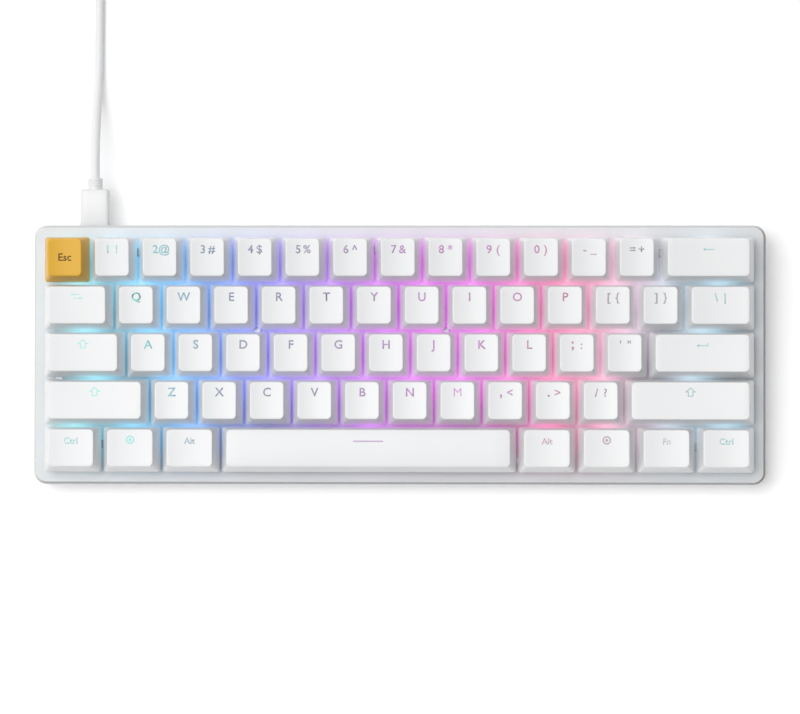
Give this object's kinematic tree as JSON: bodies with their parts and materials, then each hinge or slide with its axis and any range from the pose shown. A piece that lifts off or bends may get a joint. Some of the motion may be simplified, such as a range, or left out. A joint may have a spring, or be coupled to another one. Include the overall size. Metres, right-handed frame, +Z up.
{
  "type": "mechanical keyboard",
  "caption": "Compact mechanical keyboard: sprung keys standing clear of a flat metal plate, sloped case with flip feet, and a plug-in lead.",
  "frame": {"origin": "bottom centre of the keyboard's box, without its lead, where its rubber pads stand on the desk", "axes": "+X along the rows to the right, +Y to the back where the lead leaves, +Z up"},
  "size_m": [0.295, 0.2775, 0.0395],
  "materials": {
    "cap_white": "fine satin",
    "cap_accent": "fine satin",
    "legend": "clear, lit from behind",
    "plate_metal": "satin, light silver-white",
    "screw_steel": "bright",
    "case_plastic": "satin",
    "switch_plastic": "milky, lets light through",
    "stem_plastic": "satin",
    "backlight": "lit",
    "board_laminate": "satin solder mask",
    "socket_steel": "bright",
    "pad_rubber": "matt",
    "lead_jacket": "satin, soft",
    "plug_plastic": "satin"
  },
  "bodies": {
    "case": {"bottom_case": "case_plastic", "top_plate": "plate_metal", "switch_housings": "switch_plastic", "circuit_board": "board_laminate", "usb_socket": "socket_steel", "front_pad_left": "pad_rubber", "front_pad_right": "pad_rubber", "rear_pad_left": "pad_rubber", "rear_pad_right": "pad_rubber", "lead_plug": "lead_jacket", "lead": "lead_jacket", "lead_coil": "lead_jacket", "computer_plug": "plug_plastic"},
    "key_esc": {"key_esc": "cap_accent"},
    "key_backspace": {"key_backspace": "cap_white"},
    "key_tab": {"key_tab": "cap_white"},
    "key_q": {"key_q": "cap_white"},
    "key_w": {"key_w": "cap_white"},
    "key_e": {"key_e": "cap_white"},
    "key_r": {"key_r": "cap_white"},
    "key_t": {"key_t": "cap_white"},
    "key_y": {"key_y": "cap_white"},
    "key_u": {"key_u": "cap_white"},
    "key_i": {"key_i": "cap_white"},
    "key_o": {"key_o": "cap_white"},
    "key_p": {"key_p": "cap_white"},
    "key_bracket_left": {"key_bracket_left": "cap_white"},
    "key_bracket_right": {"key_bracket_right": "cap_white"},
    "key_backslash": {"key_backslash": "cap_white"},
    "key_caps": {"key_caps": "cap_white"},
    "key_a": {"key_a": "cap_white"},
    "key_s": {"key_s": "cap_white"},
    "key_d": {"key_d": "cap_white"},
    "key_f": {"key_f": "cap_white"},
    "key_g": {"key_g": "cap_white"},
    "key_h": {"key_h": "cap_white"},
    "key_j": {"key_j": "cap_white"},
    "key_k": {"key_k": "cap_white"},
    "key_l": {"key_l": "cap_white"},
    "key_semicolon": {"key_semicolon": "cap_white"},
    "key_quote": {"key_quote": "cap_white"},
    "key_enter": {"key_enter": "cap_white"},
    "key_shift_left": {"key_shift_left": "cap_white"},
    "key_z": {"key_z": "cap_white"},
    "key_x": {"key_x": "cap_white"},
    "key_c": {"key_c": "cap_white"},
    "key_v": {"key_v": "cap_white"},
    "key_b": {"key_b": "cap_white"},
    "key_n": {"key_n": "cap_white"},
    "key_m": {"key_m": "cap_white"},
    "key_comma": {"key_comma": "cap_white"},
    "key_period": {"key_period": "cap_white"},
    "key_slash": {"key_slash": "cap_white"},
    "key_shift_right": {"key_shift_right": "cap_white"},
    "key_space": {"key_space": "cap_white"},
    "number_keys": {"number_keys": "cap_white"},
    "modifiers_left": {"modifiers_left": "cap_white"},
    "modifiers_right": {"modifiers_right": "cap_white"},
    "flip_foot_left": {"flip_foot_left": "case_plastic"},
    "flip_foot_right": {"flip_foot_right": "case_plastic"}
  },
  "joints": [
    {"name": "esc_press", "type": "slide", "parent": "case", "child": "key_esc", "axis": [0, 0.0698, -0.9976], "range_m": [0, 0.004], "stiffness_N_per_m": 75, "springref_m": -0.004},
    {"name": "backspace_press", "type": "slide", "parent": "case", "child": "key_backspace", "axis": [0, 0.0698, -0.9976], "range_m": [0, 0.004], "stiffness_N_per_m": 75, "springref_m": -0.004},
    {"name": "tab_press", "type": "slide", "parent": "case", "child": "key_tab", "axis": [0, 0.0698, -0.9976], "range_m": [0, 0.004], "stiffness_N_per_m": 75, "springref_m": -0.004},
    {"name": "q_press", "type": "slide", "parent": "case", "child": "key_q", "axis": [0, 0.0698, -0.9976], "range_m": [0, 0.004], "stiffness_N_per_m": 75, "springref_m": -0.004},
    {"name": "w_press", "type": "slide", "parent": "case", "child": "key_w", "axis": [0, 0.0698, -0.9976], "range_m": [0, 0.004], "stiffness_N_per_m": 75, "springref_m": -0.004},
    {"name": "e_press", "type": "slide", "parent": "case", "child": "key_e", "axis": [0, 0.0698, -0.9976], "range_m": [0, 0.004], "stiffness_N_per_m": 75, "springref_m": -0.004},
    {"name": "r_press", "type": "slide", "parent": "case", "child": "key_r", "axis": [0, 0.0698, -0.9976], "range_m": [0, 0.004], "stiffness_N_per_m": 75, "springref_m": -0.004},
    {"name": "t_press", "type": "slide", "parent": "case", "child": "key_t", "axis": [0, 0.0698, -0.9976], "range_m": [0, 0.004], "stiffness_N_per_m": 75, "springref_m": -0.004},
    {"name": "y_press", "type": "slide", "parent": "case", "child": "key_y", "axis": [0, 0.0698, -0.9976], "range_m": [0, 0.004], "stiffness_N_per_m": 75, "springref_m": -0.004},
    {"name": "u_press", "type": "slide", "parent": "case", "child": "key_u", "axis": [0, 0.0698, -0.9976], "range_m": [0, 0.004], "stiffness_N_per_m": 75, "springref_m": -0.004},
    {"name": "i_press", "type": "slide", "parent": "case", "child": "key_i", "axis": [0, 0.0698, -0.9976], "range_m": [0, 0.004], "stiffness_N_per_m": 75, "springref_m": -0.004},
    {"name": "o_press", "type": "slide", "parent": "case", "child": "key_o", "axis": [0, 0.0698, -0.9976], "range_m": [0, 0.004], "stiffness_N_per_m": 75, "springref_m": -0.004},
    {"name": "p_press", "type": "slide", "parent": "case", "child": "key_p", "axis": [0, 0.0698, -0.9976], "range_m": [0, 0.004], "stiffness_N_per_m": 75, "springref_m": -0.004},
    {"name": "bracket_left_press", "type": "slide", "parent": "case", "child": "key_bracket_left", "axis": [0, 0.0698, -0.9976], "range_m": [0, 0.004], "stiffness_N_per_m": 75, "springref_m": -0.004},
    {"name": "bracket_right_press", "type": "slide", "parent": "case", "child": "key_bracket_right", "axis": [0, 0.0698, -0.9976], "range_m": [0, 0.004], "stiffness_N_per_m": 75, "springref_m": -0.004},
    {"name": "backslash_press", "type": "slide", "parent": "case", "child": "key_backslash", "axis": [0, 0.0698, -0.9976], "range_m": [0, 0.004], "stiffness_N_per_m": 75, "springref_m": -0.004},
    {"name": "caps_press", "type": "slide", "parent": "case", "child": "key_caps", "axis": [0, 0.0698, -0.9976], "range_m": [0, 0.004], "stiffness_N_per_m": 75, "springref_m": -0.004},
    {"name": "a_press", "type": "slide", "parent": "case", "child": "key_a", "axis": [0, 0.0698, -0.9976], "range_m": [0, 0.004], "stiffness_N_per_m": 75, "springref_m": -0.004},
    {"name": "s_press", "type": "slide", "parent": "case", "child": "key_s", "axis": [0, 0.0698, -0.9976], "range_m": [0, 0.004], "stiffness_N_per_m": 75, "springref_m": -0.004},
    {"name": "d_press", "type": "slide", "parent": "case", "child": "key_d", "axis": [0, 0.0698, -0.9976], "range_m": [0, 0.004], "stiffness_N_per_m": 75, "springref_m": -0.004},
    {"name": "f_press", "type": "slide", "parent": "case", "child": "key_f", "axis": [0, 0.0698, -0.9976], "range_m": [0, 0.004], "stiffness_N_per_m": 75, "springref_m": -0.004},
    {"name": "g_press", "type": "slide", "parent": "case", "child": "key_g", "axis": [0, 0.0698, -0.9976], "range_m": [0, 0.004], "stiffness_N_per_m": 75, "springref_m": -0.004},
    {"name": "h_press", "type": "slide", "parent": "case", "child": "key_h", "axis": [0, 0.0698, -0.9976], "range_m": [0, 0.004], "stiffness_N_per_m": 75, "springref_m": -0.004},
    {"name": "j_press", "type": "slide", "parent": "case", "child": "key_j", "axis": [0, 0.0698, -0.9976], "range_m": [0, 0.004], "stiffness_N_per_m": 75, "springref_m": -0.004},
    {"name": "k_press", "type": "slide", "parent": "case", "child": "key_k", "axis": [0, 0.0698, -0.9976], "range_m": [0, 0.004], "stiffness_N_per_m": 75, "springref_m": -0.004},
    {"name": "l_press", "type": "slide", "parent": "case", "child": "key_l", "axis": [0, 0.0698, -0.9976], "range_m": [0, 0.004], "stiffness_N_per_m": 75, "springref_m": -0.004},
    {"name": "semicolon_press", "type": "slide", "parent": "case", "child": "key_semicolon", "axis": [0, 0.0698, -0.9976], "range_m": [0, 0.004], "stiffness_N_per_m": 75, "springref_m": -0.004},
    {"name": "quote_press", "type": "slide", "parent": "case", "child": "key_quote", "axis": [0, 0.0698, -0.9976], "range_m": [0, 0.004], "stiffness_N_per_m": 75, "springref_m": -0.004},
    {"name": "enter_press", "type": "slide", "parent": "case", "child": "key_enter", "axis": [0, 0.0698, -0.9976], "range_m": [0, 0.004], "stiffness_N_per_m": 75, "springref_m": -0.004},
    {"name": "shift_left_press", "type": "slide", "parent": "case", "child": "key_shift_left", "axis": [0, 0.0698, -0.9976], "range_m": [0, 0.004], "stiffness_N_per_m": 75, "springref_m": -0.004},
    {"name": "z_press", "type": "slide", "parent": "case", "child": "key_z", "axis": [0, 0.0698, -0.9976], "range_m": [0, 0.004], "stiffness_N_per_m": 75, "springref_m": -0.004},
    {"name": "x_press", "type": "slide", "parent": "case", "child": "key_x", "axis": [0, 0.0698, -0.9976], "range_m": [0, 0.004], "stiffness_N_per_m": 75, "springref_m": -0.004},
    {"name": "c_press", "type": "slide", "parent": "case", "child": "key_c", "axis": [0, 0.0698, -0.9976], "range_m": [0, 0.004], "stiffness_N_per_m": 75, "springref_m": -0.004},
    {"name": "v_press", "type": "slide", "parent": "case", "child": "key_v", "axis": [0, 0.0698, -0.9976], "range_m": [0, 0.004], "stiffness_N_per_m": 75, "springref_m": -0.004},
    {"name": "b_press", "type": "slide", "parent": "case", "child": "key_b", "axis": [0, 0.0698, -0.9976], "range_m": [0, 0.004], "stiffness_N_per_m": 75, "springref_m": -0.004},
    {"name": "n_press", "type": "slide", "parent": "case", "child": "key_n", "axis": [0, 0.0698, -0.9976], "range_m": [0, 0.004], "stiffness_N_per_m": 75, "springref_m": -0.004},
    {"name": "m_press", "type": "slide", "parent": "case", "child": "key_m", "axis": [0, 0.0698, -0.9976], "range_m": [0, 0.004], "stiffness_N_per_m": 75, "springref_m": -0.004},
    {"name": "comma_press", "type": "slide", "parent": "case", "child": "key_comma", "axis": [0, 0.0698, -0.9976], "range_m": [0, 0.004], "stiffness_N_per_m": 75, "springref_m": -0.004},
    {"name": "period_press", "type": "slide", "parent": "case", "child": "key_period", "axis": [0, 0.0698, -0.9976], "range_m": [0, 0.004], "stiffness_N_per_m": 75, "springref_m": -0.004},
    {"name": "slash_press", "type": "slide", "parent": "case", "child": "key_slash", "axis": [0, 0.0698, -0.9976], "range_m": [0, 0.004], "stiffness_N_per_m": 75, "springref_m": -0.004},
    {"name": "shift_right_press", "type": "slide", "parent": "case", "child": "key_shift_right", "axis": [0, 0.0698, -0.9976], "range_m": [0, 0.004], "stiffness_N_per_m": 75, "springref_m": -0.004},
    {"name": "space_press", "type": "slide", "parent": "case", "child": "key_space", "axis": [0, 0.0698, -0.9976], "range_m": [0, 0.004], "stiffness_N_per_m": 75, "springref_m": -0.004},
    {"name": "number_keys_press", "type": "slide", "parent": "case", "child": "number_keys", "axis": [0, 0.0698, -0.9976], "range_m": [0, 0.004], "stiffness_N_per_m": 900, "springref_m": -0.004},
    {"name": "modifiers_left_press", "type": "slide", "parent": "case", "child": "modifiers_left", "axis": [0, 0.0698, -0.9976], "range_m": [0, 0.004], "stiffness_N_per_m": 225, "springref_m": -0.004},
    {"name": "modifiers_right_press", "type": "slide", "parent": "case", "child": "modifiers_right", "axis": [0, 0.0698, -0.9976], "range_m": [0, 0.004], "stiffness_N_per_m": 300, "springref_m": -0.004},
    {"name": "flip_foot_left_hinge", "type": "hinge", "parent": "case", "child": "flip_foot_left", "pos_m": [-0.095, 0.04467, 0.0046], "axis": [1, 0, 0], "range_deg": [0, 95]},
    {"name": "flip_foot_right_hinge", "type": "hinge", "parent": "case", "child": "flip_foot_right", "pos_m": [0.095, 0.04467, 0.0046], "axis": [1, 0, 0], "range_deg": [0, 95]}
  ]
}
